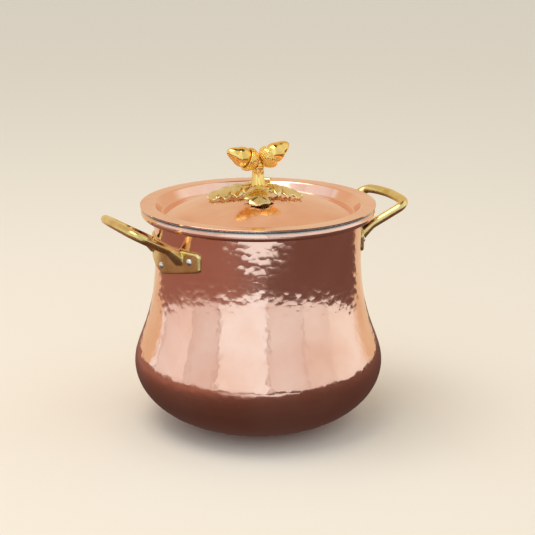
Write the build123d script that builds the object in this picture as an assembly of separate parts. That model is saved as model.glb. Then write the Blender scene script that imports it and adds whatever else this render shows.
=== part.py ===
from build123d import *
import math
import os

# Covered copper soup pot, riveted brass loop handles, acorn knob.
# Millimetres. Z up, origin on the pot's axis at the plane it stands on.
# The two handles lie on the X axis. The lid lifts along Z.

# ---------------------------------------------------------------- pot body
RIM_Z = 225.9            # top of the finished rim
BELLY_R = 126.5          # outside radius at the widest level
BELLY_Z = 64.4           # height of the widest level
BASE_R = 35.0            # radius of the flat the pot stands on
NECK_R = 103.8           # outside radius of the straight neck
NECK_H = 46.7            # height of neck and flare together
SHOULDER_LOW = 25.0      # reach of the shoulder curve's lower handle
SHOULDER_HIGH = 72.0     # reach of the shoulder curve's upper handle
COPPER = 1.6             # copper sheet
TIN = 0.4                # wiped tin lining
WIRE_R = 3.3             # wire inside the rolled rim
FLARE_R = 8.0            # outside radius of the flare under the rim
RIM_OUT = 8.8            # how far the wire lies out from the neck
CURL_END = 195.0         # where the rolled edge stops, degrees round the wire
TIN_END = 35.0           # where the tin stops on the outside of the bead

# --------------------------------------------------------------------- lid
LID_SHEET = 1.2          # copper sheet of the lid
LID_TIN = 0.3            # tin on the underside of the lid
LID_GAP = 0.3            # play between the flange and the rim
LID_LAP = 0.1            # how far the flange stands out past the rim's bead
WELL_IN = 0.4            # inner edge of the flange, inside the neck's radius
WELL_SLOPE = 6.9         # how far the well's wall leans in
WELL_DEPTH = 10.9        # depth of the well at its edge
CROWN_RISE = 9.3         # rise of the lid's crown above the flange
WELL_FILLET_TOP = 3.0    # bend radius at the flange
WELL_FILLET_LOW = 3.0    # bend radius at the floor

# ----------------------------------------------------------------- handles
PLATE_T = 3.0            # thickness of the back plate
PLATE_W = 54.6           # half width of the plate, seen from the side
PLATE_LOW = 27.7         # top edge of the plate under the rim
PLATE_END_H = 19.5       # height of the plate at its two ends
PLATE_DROP = 12.0        # how much lower the plate's middle reaches
PLATE_CORNER = 4.5       # corner radius of the plate
PLATE_BEVEL = 1.4        # bevel round the outside of the plate
PLATE_SEAT = 0.05        # play between the plate and the neck
LOOP_TILT = 29.1         # upward slope of the loop, degrees
LOOP_ROOT_IN = 1.1       # the loop's root line, inside the neck's radius
LOOP_ROOT_LOW = 5.2      # the loop's root line under the plate's top edge
LOOP_ROOT_W = 30.2       # half distance between the arms at the plate
LOOP_GRIP_W = 41.2       # half distance between the arms at the grip
LOOP_REACH = 53.1        # length of the arms along the slope
LOOP_ARCH = 5.0          # bow of the grip
LOOP_CORNER = 10.0       # corner radius of the loop's centre line
BAR_A = 4.9              # half width of the bar in the loop's plane
BAR_B = 4.5              # half thickness of the bar
ARM_BLEND = 3.0          # growth of an arm where it meets the plate
ARM_FLARE = 13.0         # length over which the arm grows

# ------------------------------------------------------------------ rivets
RIVET_R = 1.95           # shank radius
RIVET_PLAY = 0.03        # radial play of a shank in its hole
RIVET_HEAD_R = 3.6       # domed head outside
RIVET_HEAD_H = 2.0
RIVET_TAIL_R = 4.0       # flat head inside
RIVET_TAIL_H = 0.9
RIVET_W = 42.9           # side rivets, distance from the handle's middle plane
RIVET_SIDE_LOW = 10.0    # side rivets under the plate's top edge
RIVET_MID_LOW = 22.3     # middle rivet under the plate's top edge

# -------------------------------------------------------------------- knob
KNOB_TURN = -5.0         # direction of the acorn pair round Z, degrees
STUD_R = 1.9             # screw that holds the knob
STUD_PLAY = 0.07         # radial play of the screw in the lid
THREAD_PLAY = 0.05       # radial play modelled at the thread
STUD_DEPTH = 12.0        # thread inside the stem
HEAD_OVER = 2.1          # how far the screw's head stands out past its shank
SCREW_HEAD_H = 3.0
SLOT_W = 1.2             # screwdriver slot
WASHER_OVER = 3.4        # how far the washer stands out past the screw's head
WASHER_T = 1.2
FOOT_R = 10.8            # foot of the stem on the lid
FOOT_H = 3.0             # height of the foot's upright edge
WAIST_R = 6.1            # thin part of the stem
WAIST_H = 20.0           # height of the thin part above the lid's crown
FORK_H = 22.0            # height where the stem divides
STEM_OVER = 6.0          # how far the stem runs on into the cups
CUP_H = 31.0             # height of the cups' backs above the crown
LEFT_OUT = -0.5          # place of the left cup's back along the pair
RIGHT_OUT = 2.5          # place of the right cup's back along the pair
MEET_OUT = 1.0           # plane on which the two cups meet
LEFT_RISE = 24.0         # upward tilt of the left acorn, degrees
RIGHT_RISE = 30.0        # upward tilt of the right acorn, degrees
NUT_R = 10.5             # nut radius
NUT_L = 22.5             # nut length in front of the cup's lip
NUT_NECK = 1.5           # how much slimmer the nut is where it enters the cup
NUT_TIP = 1.2            # radius of the nut's blunt tip
NUT_SEAT = 4.5           # how deep the nut sits in the cup
CUP_OVER = 1.5           # how far the cup stands out past the nut
CUP_L = 13.0             # cup depth
CUP_WALL = 1.6           # wall of the cup at its lip
TWIG_R = 4.2             # twigs between the stem and the cups

# ------------------------------------------------------------------ leaves
LEAF_T = 2.0             # leaf thickness
LEAF_LIFT = 6.0          # height of a leaf's arch above the lid
LEAF_TIP_LIFT = 1.0      # height of a leaf's tip above the lid
LEAF_ROOT = 4.0          # where a leaf starts, from the stem's axis
LEAF_SECTOR = 37.0       # half angle a leaf may take round the stem, degrees
LEFT_LEAF = (169, 51, 16, 4)       # direction, length, half width, lobes
RIGHT_LEAF = (-32, 45, 12, 4)
FRONT_LEAF = (-110, 45, 14.5, 3)
REAR_TURN = 53.0         # direction of the rear leaf
REAR_W = 4.5             # half width of the rear leaf
REAR_OUT = 35.0          # where the rear leaf starts to roll
REAR_LIFT = 1.2          # height of the rear leaf's underside above the crown
CURL_R = 3.9             # rolled tip of the rear leaf

# ---------------------------------------------------- derived from the above
NECK_Z = RIM_Z - NECK_H
BEAD_R = NECK_R + RIM_OUT
WIRE_Z = RIM_Z - TIN - COPPER - WIRE_R
FLARE_Z = WIRE_Z + WIRE_R - FLARE_R
LID_R = BEAD_R + WIRE_R + COPPER + TIN + LID_LAP
LID_TOP = RIM_Z + LID_GAP + LID_TIN + LID_SHEET
WELL_R = NECK_R - WELL_IN
FLOOR_R = WELL_R - WELL_SLOPE
DOME = WELL_DEPTH + CROWN_RISE
DOME_R = (FLOOR_R ** 2 + DOME ** 2) / (2 * DOME)
CROWN_Z = LID_TOP + CROWN_RISE
PLATE_TOP = RIM_Z - PLATE_LOW
LOOP_ROOT_R = NECK_R - LOOP_ROOT_IN
LOOP_ROOT_Z = PLATE_TOP - LOOP_ROOT_LOW
RIVET_ANGLE = math.degrees(math.asin(RIVET_W / NECK_R))
RIVET_SIDE_Z = PLATE_TOP - RIVET_SIDE_LOW
RIVET_MID_Z = PLATE_TOP - RIVET_MID_LOW
SCREW_HEAD_R = STUD_R + HEAD_OVER
WASHER_R = SCREW_HEAD_R + WASHER_OVER
CUP_R = NUT_R + CUP_OVER
LIP_R = NUT_R - NUT_NECK


def point(r, z):
    return Vector(r, 0, z)


# ------------------------------------------------------------ pot's profile
def belly_point(angle, depth):
    """Point `depth` inside the lower belly, a quarter of an ellipse."""
    a = BELLY_R - BASE_R
    c = math.cos(angle)
    s = math.sin(angle)
    size = math.hypot(BELLY_Z * c, a * s)
    r = BASE_R + a * c - depth * BELLY_Z * c / size
    z = BELLY_Z - BELLY_Z * s + depth * a * s / size
    return point(r, z)


def shoulder_point(t, depth):
    """Point `depth` inside the shoulder, a cubic curve from belly to neck."""
    z1 = BELLY_Z + SHOULDER_LOW
    z2 = NECK_Z - SHOULDER_HIGH
    u = 1 - t
    r = BELLY_R * (u ** 3 + 3 * u * u * t) + NECK_R * (3 * u * t * t + t ** 3)
    z = BELLY_Z * u ** 3 + 3 * z1 * u * u * t + 3 * z2 * u * t * t + NECK_Z * t ** 3
    dr = 6 * u * t * (NECK_R - BELLY_R)
    dz = 3 * u * u * (z1 - BELLY_Z) + 6 * u * t * (z2 - z1) + 3 * t * t * (NECK_Z - z2)
    size = math.hypot(dr, dz)
    return point(r - depth * dz / size, z + depth * dr / size)


def belly_curve(depth):
    steps = 10
    pts = [belly_point(math.pi / 2 * (1 - i / steps), depth) for i in range(steps + 1)]
    return Spline(*pts, tangents=[(1, 0, 0), (0, 0, 1)])


def shoulder_curve(depth):
    steps = 12
    pts = [shoulder_point(i / steps, depth) for i in range(steps + 1)]
    return Spline(*pts, tangents=[(0, 0, 1), (0, 0, 1)])


def arc(r, z, radius, a0, a1):
    """Arc about (r, z) from angle a0 to a1, degrees, in the profile plane."""
    pts = []
    for a in (a0, (a0 + a1) / 2, a1):
        pts.append(point(r + radius * math.cos(math.radians(a)), z + radius * math.sin(math.radians(a))))
    return ThreePointArc(*pts)


def wall_curves(depth):
    """Pot wall `depth` inside the outer skin: base, belly, shoulder, neck and flare."""
    curves = []
    curves.append(Line(point(0, depth), point(BASE_R, depth)))
    curves.append(belly_curve(depth))
    curves.append(shoulder_curve(depth))
    curves.append(Line(point(NECK_R - depth, NECK_Z), point(NECK_R - depth, FLARE_Z)))
    curves.append(arc(NECK_R + FLARE_R, FLARE_Z, FLARE_R + depth, 180, 90))
    curves.append(Line(point(NECK_R + FLARE_R, FLARE_Z + FLARE_R + depth),
                       point(BEAD_R, FLARE_Z + FLARE_R + depth)))
    return curves


def around_wire(radius, angle):
    a = math.radians(angle)
    return point(BEAD_R + radius * math.cos(a), WIRE_Z + radius * math.sin(a))


def spin(curves):
    """Solid of revolution about Z from a closed outline in the profile plane."""
    face = make_face(Wire(curves))
    return revolve(face, Axis.Z, 360)


def drill(x, y, z, length, radius, direction):
    plane = Plane(origin=(x, y, z), z_dir=direction)
    return plane * Cylinder(radius, length)


def rivet_places(side):
    """Angle and height of each rivet of the handle on that side."""
    middle = 0 if side > 0 else 180
    return [(middle - RIVET_ANGLE, RIVET_SIDE_Z),
            (middle, RIVET_MID_Z),
            (middle + RIVET_ANGLE, RIVET_SIDE_Z)]


def radial(angle):
    a = math.radians(angle)
    return Vector(math.cos(a), math.sin(a), 0)


def rivet_holes():
    holes = []
    for side in (-1, 1):
        for angle, z in rivet_places(side):
            d = radial(angle)
            centre = d * NECK_R
            holes.append(drill(centre.X, centre.Y, z, 30, RIVET_R + RIVET_PLAY, d))
    return holes


def pot_shell():
    outer = wall_curves(0)
    inner = wall_curves(COPPER)
    curl = [arc(BEAD_R, WIRE_Z, WIRE_R, 90, CURL_END - 360),
            Line(around_wire(WIRE_R, CURL_END), around_wire(WIRE_R + COPPER, CURL_END)),
            arc(BEAD_R, WIRE_Z, WIRE_R + COPPER, CURL_END - 360, 90)]
    close = [Line(point(0, 0), point(0, COPPER))]
    body = spin(outer + curl + inner + close)
    for hole in rivet_holes():
        body -= hole
    return body


def pot_tin_lining():
    outer = wall_curves(COPPER)
    inner = wall_curves(COPPER + TIN)
    lip = [arc(BEAD_R, WIRE_Z, WIRE_R + COPPER, 90, TIN_END),
           Line(around_wire(WIRE_R + COPPER, TIN_END), around_wire(WIRE_R + COPPER + TIN, TIN_END)),
           arc(BEAD_R, WIRE_Z, WIRE_R + COPPER + TIN, TIN_END, 90)]
    close = [Line(point(0, COPPER), point(0, COPPER + TIN))]
    body = spin(outer + lip + inner + close)
    for hole in rivet_holes():
        body -= hole
    return body


def rim_wire():
    return Pos(0, 0, WIRE_Z) * Torus(BEAD_R, WIRE_R)


# ----------------------------------------------------------------- handles
def plate_blank():
    """Ring of plate material wrapped on the neck."""
    low = PLATE_TOP - PLATE_END_H - PLATE_DROP - 12
    high = PLATE_TOP + 8
    steps = 12
    sides = []
    for depth in (-PLATE_SEAT, -PLATE_T):
        pts = [shoulder_point(i / steps, depth) for i in range(steps + 1)]
        sides.append(Spline(*pts, tangents=[(0, 0, 1), (0, 0, 1)]))
    near = NECK_R + PLATE_SEAT
    top = [Line(point(near, NECK_Z), point(near, high)),
           Line(point(near, high), point(NECK_R + PLATE_T, high)),
           Line(point(NECK_R + PLATE_T, high), point(NECK_R + PLATE_T, NECK_Z))]
    bottom = [Line(sides[0] @ 0, sides[1] @ 0)]
    ring = spin(sides + top + bottom)
    keep = Pos(0, 0, (low + high) / 2) * Box(4 * NECK_R, 4 * NECK_R, high - low)
    return ring & keep


def plate_outline():
    """Outline of the plate seen along X: level top, blunt V below."""
    end = PLATE_TOP - PLATE_END_H
    tip = end - PLATE_DROP
    corners = [(PLATE_W, PLATE_TOP), (PLATE_W, end), (0, tip), (-PLATE_W, end), (-PLATE_W, PLATE_TOP)]
    wire = FilletPolyline(*[Vector(0, y, z) for y, z in corners], radius=PLATE_CORNER, close=True)
    return make_face(wire)


def on_loop(across, out, side):
    """Place a point of the flat loop drawing in space."""
    t = math.radians(LOOP_TILT)
    x = LOOP_ROOT_R + out * math.cos(t)
    z = LOOP_ROOT_Z + out * math.sin(t)
    return Vector(side * x, across, z)


def loop_bar(side):
    """The bar, swept along arm, corner, bowed grip, corner and arm."""
    bow = (LOOP_GRIP_W ** 2 + LOOP_ARCH ** 2) / (2 * LOOP_ARCH)
    # the corner arc is tangent to the straight arm and to the bowed grip
    arm = Vector(LOOP_GRIP_W - LOOP_ROOT_W, LOOP_REACH, 0).normalized()
    normal = Vector(-arm.Y, arm.X, 0)
    centre_y = LOOP_REACH + LOOP_ARCH - bow
    r = LOOP_CORNER
    # centre of the corner arc: r inside the arm line and r inside the grip circle
    base = Vector(LOOP_ROOT_W, 0, 0) + normal * r
    rel = base - Vector(0, centre_y, 0)
    b = rel.dot(arm)
    c = rel.dot(rel) - (bow - r) ** 2
    k = -b + math.sqrt(b * b - c)
    centre = base + arm * k
    on_arm = centre - normal * r
    from_mid = (centre - Vector(0, centre_y, 0)).normalized()
    on_grip = centre + from_mid * r
    half = ((on_arm - centre).normalized() + (on_grip - centre).normalized()).normalized()
    middle = centre + half * r
    start = Vector(LOOP_ROOT_W, 0, 0) - arm * PLATE_T
    pts = [start, on_arm, middle, on_grip, Vector(0, LOOP_REACH + LOOP_ARCH, 0)]
    right = [on_loop(p.X, p.Y, side) for p in pts]
    left = [on_loop(-p.X, p.Y, side) for p in pts]
    path = Wire([Line(right[0], right[1]),
                 ThreePointArc(right[1], right[2], right[3]),
                 ThreePointArc(right[3], right[4], left[3]),
                 ThreePointArc(left[3], left[2], left[1]),
                 Line(left[1], left[0])])
    across = (right[1] - right[0]).normalized()
    tilt = math.radians(LOOP_TILT)
    up = Vector(-side * math.sin(tilt), 0, math.cos(tilt))
    section = Plane(origin=right[0], x_dir=up, z_dir=across) * Ellipse(BAR_B, BAR_A)
    return sweep(section, path=path)


def handle(side):
    plate = plate_blank() & extrude(plate_outline(), side * 2 * NECK_R, dir=(1, 0, 0))
    plate = chamfer([e for e in plate.edges() if is_outer_edge(e)], PLATE_BEVEL)
    inside = Cylinder(NECK_R + PLATE_SEAT, 4 * RIM_Z)
    joined = plate + (loop_bar(side) - inside)
    for hand in (-1, 1):
        joined += arm_flare(side, hand) - inside
    for hole in rivet_holes():
        joined -= hole
    return joined


def is_outer_edge(edge):
    for t in (0.0, 0.5, 1.0):
        p = edge @ t
        if math.hypot(p.X, p.Y) < NECK_R + PLATE_T - 0.02:
            return False
    return True


def arm_flare(side, hand):
    """Spread root of one arm: its top runs on level with the arm, its underside drops."""
    tilt = math.radians(LOOP_TILT)
    up = Vector(-side * math.sin(tilt), 0, math.cos(tilt))
    root = on_loop(hand * LOOP_ROOT_W, 0, side)
    way = (on_loop(hand * LOOP_GRIP_W, LOOP_REACH, side) - root).normalized()
    sections = []
    for along, grow in ((-4, ARM_BLEND), (2, ARM_BLEND * 0.6), (ARM_FLARE, 0)):
        place = root + way * along - up * grow
        plane = Plane(origin=place, x_dir=up, z_dir=way)
        sections.append(plane * Ellipse(BAR_B + grow, BAR_A + grow))
    return loft(sections)


def rivet(angle, z):
    d = radial(angle)
    seat_out = seat_radius(z - RIVET_HEAD_R) + PLATE_T
    bore = NECK_R - COPPER - TIN
    seat_in = math.sqrt(bore ** 2 - RIVET_TAIL_R ** 2)
    length = seat_out - seat_in
    shank = Cylinder(RIVET_R, length)
    dome_r = (RIVET_HEAD_R ** 2 + RIVET_HEAD_H ** 2) / (2 * RIVET_HEAD_H)
    ball = Pos(0, 0, RIVET_HEAD_H - dome_r) * Sphere(dome_r)
    head = ball & (Pos(0, 0, RIVET_HEAD_H / 2) * Box(20, 20, RIVET_HEAD_H))
    tail = Pos(0, 0, -RIVET_TAIL_H / 2) * Cylinder(RIVET_TAIL_R, RIVET_TAIL_H)
    tail = chamfer(tail.edges().sort_by(Axis.Z)[0], 0.4)
    one = shank + (Pos(0, 0, length / 2) * head) + (Pos(0, 0, -length / 2) * tail)
    centre = d * ((seat_out + seat_in) / 2)
    return Plane(origin=(centre.X, centre.Y, z), z_dir=d) * one


def seat_radius(z):
    """Outside radius of the pot at height z on the neck or upper shoulder."""
    if z >= NECK_Z:
        return NECK_R
    low = 0.5
    high = 1.0
    for _ in range(40):
        mid = (low + high) / 2
        if shoulder_point(mid, 0).Z < z:
            low = mid
        else:
            high = mid
    return shoulder_point(high, 0).X


def rivets(side):
    return Compound(children=[rivet(angle, z) for angle, z in rivet_places(side)])


# --------------------------------------------------------------------- lid
def lid_corners(depth):
    """Sharp corners of the lid's section, `depth` under its top surface."""
    wall = Vector(WELL_R - FLOOR_R, 0, WELL_DEPTH).normalized()
    out = Vector(wall.Z, 0, -wall.X)
    start = point(FLOOR_R, LID_TOP - WELL_DEPTH) + out * depth
    top = start + wall * ((LID_TOP - depth - start.Z) / wall.Z)
    centre_z = CROWN_Z - DOME_R
    rel = start - point(0, centre_z)
    b = rel.dot(wall)
    c = rel.dot(rel) - (DOME_R - depth) ** 2
    foot = start + wall * (-b + math.sqrt(max(b * b - c, 0)))
    return foot, top


def lid_layer(near, far):
    """Face of the lid's section between two depths under the top surface."""
    f1, t1 = lid_corners(near)
    f2, t2 = lid_corners(far)
    centre_z = CROWN_Z - DOME_R
    edges = []
    for depth, foot in ((near, f1), (far, f2)):
        radius = DOME_R - depth
        angle = math.degrees(math.atan2(foot.Z - centre_z, foot.X))
        edges.append(arc(0, centre_z, radius, 90, angle))
    rim1 = point(LID_R, LID_TOP - near)
    rim2 = point(LID_R, LID_TOP - far)
    edges += [Line(f1, t1), Line(t1, rim1), Line(rim1, rim2), Line(rim2, t2), Line(t2, f2)]
    edges.append(Line(point(0, CROWN_Z - near), point(0, CROWN_Z - far)))
    face = make_face(Wire(edges))
    bends = [(f1, WELL_FILLET_LOW + near), (f2, WELL_FILLET_LOW + far),
             (t1, WELL_FILLET_TOP - near), (t2, WELL_FILLET_TOP - far)]
    for place, radius in bends:
        corner = min(face.vertices(), key=lambda v: (v.center() - place).length)
        face = fillet(corner, radius)
    return face


def lid_hole():
    return Pos(0, 0, CROWN_Z) * Cylinder(STUD_R + STUD_PLAY, 20)


def lid_shell():
    return revolve(lid_layer(0, LID_SHEET), Axis.Z, 360) - lid_hole()


def lid_tin_lining():
    return revolve(lid_layer(LID_SHEET, LID_SHEET + LID_TIN), Axis.Z, 360) - lid_hole()


# -------------------------------------------------------------------- knob
def knob_place():
    return Pos(0, 0, CROWN_Z) * Rot(0, 0, KNOB_TURN)


def crown_drop(r):
    """How far the lid's top surface lies under its crown at radius r."""
    return DOME_R - math.sqrt(DOME_R ** 2 - r * r)


def acorn_place(left):
    """Placement whose Z runs from the back of the cup to the tip of the nut."""
    rise = math.radians(LEFT_RISE if left else RIGHT_RISE)
    hand = -1 if left else 1
    way = Vector(hand * math.cos(rise), 0, math.sin(rise))
    back = point(LEFT_OUT if left else RIGHT_OUT, CUP_H)
    return knob_place() * Location(Plane(origin=back, x_dir=(0, 1, 0), z_dir=way))


def acorn_nut(left):
    """Nut with a seat inside the cup, a swelling and a short blunt point."""
    seat = CUP_L - NUT_SEAT
    tip = CUP_L + NUT_L
    side = Spline(point(LIP_R, CUP_L), point(NUT_R, CUP_L + NUT_L * 0.28),
                  point(NUT_R * 0.72, CUP_L + NUT_L * 0.72), point(NUT_TIP, tip),
                  tangents=[(0.25, 0, 1), (-0.9, 0, 0.5)])
    rest = [Line(point(NUT_TIP, tip), point(0, tip)),
            Line(point(0, tip), point(0, seat)),
            Line(point(0, seat), point(LIP_R, seat)),
            Line(point(LIP_R, seat), point(LIP_R, CUP_L))]
    return acorn_place(left) * spin([side] + rest)


def acorn_cup(left):
    """Cup of one acorn, cut off on the plane where it meets the other."""
    seat = CUP_L - NUT_SEAT
    outer = Spline(point(0, 0), point(CUP_R * 0.72, CUP_L * 0.23), point(CUP_R, CUP_L * 0.72),
                   point(LIP_R + CUP_WALL, CUP_L), tangents=[(1, 0, 0), (-0.5, 0, 0.8)])
    rest = [Line(point(LIP_R + CUP_WALL, CUP_L), point(LIP_R, CUP_L)),
            Line(point(LIP_R, CUP_L), point(LIP_R, seat)),
            Line(point(LIP_R, seat), point(0, seat)),
            Line(point(0, seat), point(0, 0))]
    reach = 10 * CUP_R
    hand = -1 if left else 1
    keep = knob_place() * Pos(MEET_OUT + hand * reach / 2, 0, 0) * Box(reach, reach, 2 * reach)
    return (acorn_place(left) * spin([outer] + rest)) & keep


def stem_solid():
    """Stem with a spread foot, seated on the lid's dome."""
    foot = -crown_drop(FOOT_R)
    top = CROWN_Z + FORK_H + STEM_OVER
    neck = WAIST_R * 1.05
    outline = [Line(point(0, top), point(0, CROWN_Z)),
               arc(0, CROWN_Z - DOME_R, DOME_R, 90,
                   math.degrees(math.acos(FOOT_R / DOME_R))),
               Line(point(FOOT_R, CROWN_Z + foot), point(FOOT_R, CROWN_Z + FOOT_H)),
               Spline(point(FOOT_R, CROWN_Z + FOOT_H), point(WAIST_R, CROWN_Z + WAIST_H),
                      point(neck, top), tangents=[(-0.6, 0, 0.8), (0.1, 0, 1)]),
               Line(point(neck, top), point(0, top))]
    return Rot(0, 0, KNOB_TURN) * spin(outline)


def twig(left):
    """Short round twig from the stem's fork to the back of a cup."""
    start = point(-1.5 if left else 1.5, FORK_H)
    end = point(LEFT_OUT if left else RIGHT_OUT, CUP_H)
    way = end - start
    plane = Plane(origin=(start + end) * 0.5, z_dir=way.normalized())
    return knob_place() * (plane * Cylinder(TWIG_R, way.length))


def knob_branch():
    body = stem_solid() + twig(True) + twig(False)
    body = body - acorn_cup(True) - acorn_cup(False)
    hole = Pos(0, 0, CROWN_Z) * Cylinder(STUD_R + THREAD_PLAY, 2 * STUD_DEPTH)
    return (body - hole).solids().sort_by(SortBy.VOLUME)[-1]


def leaf_outline(length, width, lobes):
    """Lobed leaf drawn flat along +X from the stem outward."""
    steps = 6 * lobes
    edge = []
    for i in range(steps + 1):
        s = i / steps
        envelope = math.sin(math.pi * min(1, 0.08 + 0.92 * s)) ** 0.6 if s < 1 else 0
        wave = 1 - 0.26 * (1 + math.cos(2 * math.pi * lobes * s)) / 2
        edge.append((LEAF_ROOT + (length - LEAF_ROOT) * s, max(width * envelope * wave, 1.2)))
    upper = [Vector(x, y, 0) for x, y in edge]
    lower = [Vector(x, -y, 0) for x, y in edge]
    blade = make_face(Wire([Spline(*upper), Line(upper[-1], lower[-1]),
                            Spline(*reversed(lower)), Line(lower[0], upper[0])]))
    side = 2 * length * math.tan(math.radians(LEAF_SECTOR))
    sector = make_face(Polyline((0, 0), (2 * length, side), (2 * length, -side), (0, 0)))
    return blade & sector


def leaf_sheet(length):
    """Arched sheet the leaves are cut from, thickness LEAF_T."""
    reach = length + 2
    rows = []
    for layer in (0, LEAF_T):
        pts = []
        for i in range(7):
            s = i / 6
            r = 2 + (reach - 2) * s
            lift = LEAF_TIP_LIFT + (LEAF_LIFT - LEAF_TIP_LIFT) * math.cos(math.pi / 2 * s) ** 0.9
            pts.append(point(r, CROWN_Z - crown_drop(r) + lift + layer))
        rows.append(pts)
    low, high = rows
    return spin([Spline(*low), Line(low[-1], high[-1]), Spline(*high), Line(high[0], low[0])])


def leaf(direction, length, width, lobes):
    flat = leaf_outline(length, width, lobes)
    prism = extrude(flat, 40, dir=(0, 0, 1))
    placed = Pos(0, 0, CROWN_Z - 10) * Rot(0, 0, KNOB_TURN + direction) * prism
    body = (leaf_sheet(length) & placed) - stem_solid()
    return body.solids().sort_by(SortBy.VOLUME)[-1]


def leaf_rear():
    """Narrow rear leaf that rolls over on itself at its tip."""
    low = REAR_LIFT
    high = REAR_LIFT + LEAF_T
    top = REAR_LIFT + 2 * CURL_R
    middle = REAR_LIFT + CURL_R
    section = [Line(point(WAIST_R, low), point(REAR_OUT, low)),
               ThreePointArc(point(REAR_OUT, low), point(REAR_OUT + CURL_R, middle), point(REAR_OUT, top)),
               ThreePointArc(point(REAR_OUT, top), point(REAR_OUT - CURL_R, middle),
                             point(REAR_OUT - LEAF_T, high)),
               Line(point(REAR_OUT - LEAF_T, high), point(WAIST_R, high)),
               Line(point(WAIST_R, high), point(WAIST_R, low))]
    solid = extrude(make_face(Wire(section)), REAR_W, both=True)
    placed = knob_place() * Rot(0, 0, REAR_TURN) * solid
    return (placed - stem_solid()).solids().sort_by(SortBy.VOLUME)[-1]


def washer_seat():
    """Level of the washer's top face, against the hollow underside of the lid."""
    return CROWN_Z - LID_SHEET - LID_TIN - crown_drop(WASHER_R) - 0.02


def knob_screw():
    under = washer_seat()
    shank_low = under - WASHER_T
    shank_high = CROWN_Z + STUD_DEPTH - 1
    shank = Pos(0, 0, (shank_low + shank_high) / 2) * Cylinder(STUD_R, shank_high - shank_low)
    head = Pos(0, 0, shank_low - SCREW_HEAD_H / 2) * Cylinder(SCREW_HEAD_R, SCREW_HEAD_H)
    head = fillet(head.edges().sort_by(Axis.Z)[0], 1.2)
    slot = Pos(0, 0, shank_low - SCREW_HEAD_H) * Box(3 * SCREW_HEAD_R, SLOT_W, 2 * SLOT_W)
    return (shank + head) - slot


def knob_washer():
    under = washer_seat()
    ring = Cylinder(WASHER_R, WASHER_T) - Cylinder(STUD_R + STUD_PLAY, 3 * WASHER_T)
    return Pos(0, 0, under - WASHER_T / 2) * ring


def save(name, body):
    export_step(body, f"parts/{name}.step")


def main():
    os.makedirs("parts", exist_ok=True)
    save("pot_shell", pot_shell())
    save("pot_tin_lining", pot_tin_lining())
    save("rim_wire", rim_wire())
    save("handle_left", handle(-1))
    save("handle_right", handle(1))
    save("rivets_left", rivets(-1))
    save("rivets_right", rivets(1))
    save("lid_shell", lid_shell())
    save("lid_tin_lining", lid_tin_lining())
    save("knob_branch", knob_branch())
    save("acorn_left_cup", acorn_cup(True))
    save("acorn_left_nut", acorn_nut(True))
    save("acorn_right_cup", acorn_cup(False))
    save("acorn_right_nut", acorn_nut(False))
    save("oak_leaf_left", leaf(*LEFT_LEAF))
    save("oak_leaf_right", leaf(*RIGHT_LEAF))
    save("oak_leaf_front", leaf(*FRONT_LEAF))
    save("oak_leaf_rear", leaf_rear())
    save("knob_screw", knob_screw())
    save("knob_washer", knob_washer())


if __name__ == "__main__":
    main()
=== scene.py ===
import math

import bpy
from mathutils import Matrix, Vector


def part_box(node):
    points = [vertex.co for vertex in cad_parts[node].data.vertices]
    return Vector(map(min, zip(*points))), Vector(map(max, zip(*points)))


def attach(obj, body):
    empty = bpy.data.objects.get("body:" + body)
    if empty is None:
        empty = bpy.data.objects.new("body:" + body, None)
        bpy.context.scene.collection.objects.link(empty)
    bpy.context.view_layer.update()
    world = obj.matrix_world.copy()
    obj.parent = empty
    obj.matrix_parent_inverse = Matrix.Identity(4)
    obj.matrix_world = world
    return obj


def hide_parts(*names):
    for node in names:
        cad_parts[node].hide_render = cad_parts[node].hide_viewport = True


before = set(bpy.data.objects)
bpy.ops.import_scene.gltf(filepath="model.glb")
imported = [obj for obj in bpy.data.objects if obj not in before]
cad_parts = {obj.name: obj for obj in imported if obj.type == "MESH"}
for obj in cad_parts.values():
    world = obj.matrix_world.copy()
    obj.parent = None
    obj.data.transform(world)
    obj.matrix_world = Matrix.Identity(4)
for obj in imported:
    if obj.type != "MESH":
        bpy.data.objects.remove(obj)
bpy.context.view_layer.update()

bl_info = {
    "name": "Covered copper soup pot",
    "version": (1, 0, 0),
    "blender": (4, 5, 0),
    "location": "3D View > Sidebar > Soup Pot",
    "description": "Hammered copper soup pot with brass handles and an acorn lid knob",
    "category": "Add Mesh",
}

MM = 0.001
POT_STEPS = 400      # steps of the spin round the pot
LID_STEPS = 320      # steps of the spin round the lid
NUT_STEPS = 48       # steps of the spin round an acorn's nut
SCALES = 22          # scales in one row of an acorn's cup
SCALE_ROWS = 9       # rows of scales on a cup
POINT_GAP = 2e-6     # points nearer than this are merged


# ------------------------------------------------------------------ small helpers
def linear(hex_colour):
    """sRGB hex such as 'F6CBB7' as a linear colour with alpha 1."""
    parts = [int(hex_colour[i:i + 2], 16) / 255 for i in (0, 2, 4)]
    bright = [c / 12.92 if c <= 0.04045 else ((c + 0.055) / 1.055) ** 2.4 for c in parts]
    return (*bright, 1.0)


def add_node(tree, kind, settings=None, links=None):
    """Adds one node, sets its inputs or attributes, and joins the linked inputs."""
    made = tree.nodes.new(kind)
    for key, value in (settings or {}).items():
        if isinstance(key, int) or key in made.inputs:
            made.inputs[key].default_value = value
        else:
            setattr(made, key, value)
    for key, socket in (links or {}).items():
        tree.links.new(socket, made.inputs[key])
    return made


def deselect():
    bpy.ops.object.select_all(action="DESELECT")


def only(obj):
    """Makes this the one selected and active object."""
    deselect()
    obj.select_set(True)
    bpy.context.view_layer.objects.active = obj
    return obj


def edit(obj, select="SELECT"):
    """Opens the object in edit mode, with all or none of it selected."""
    only(obj)
    bpy.ops.object.mode_set(mode="EDIT")
    bpy.ops.mesh.select_all(action=select)


def leave():
    bpy.ops.object.mode_set(mode="OBJECT")


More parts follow.
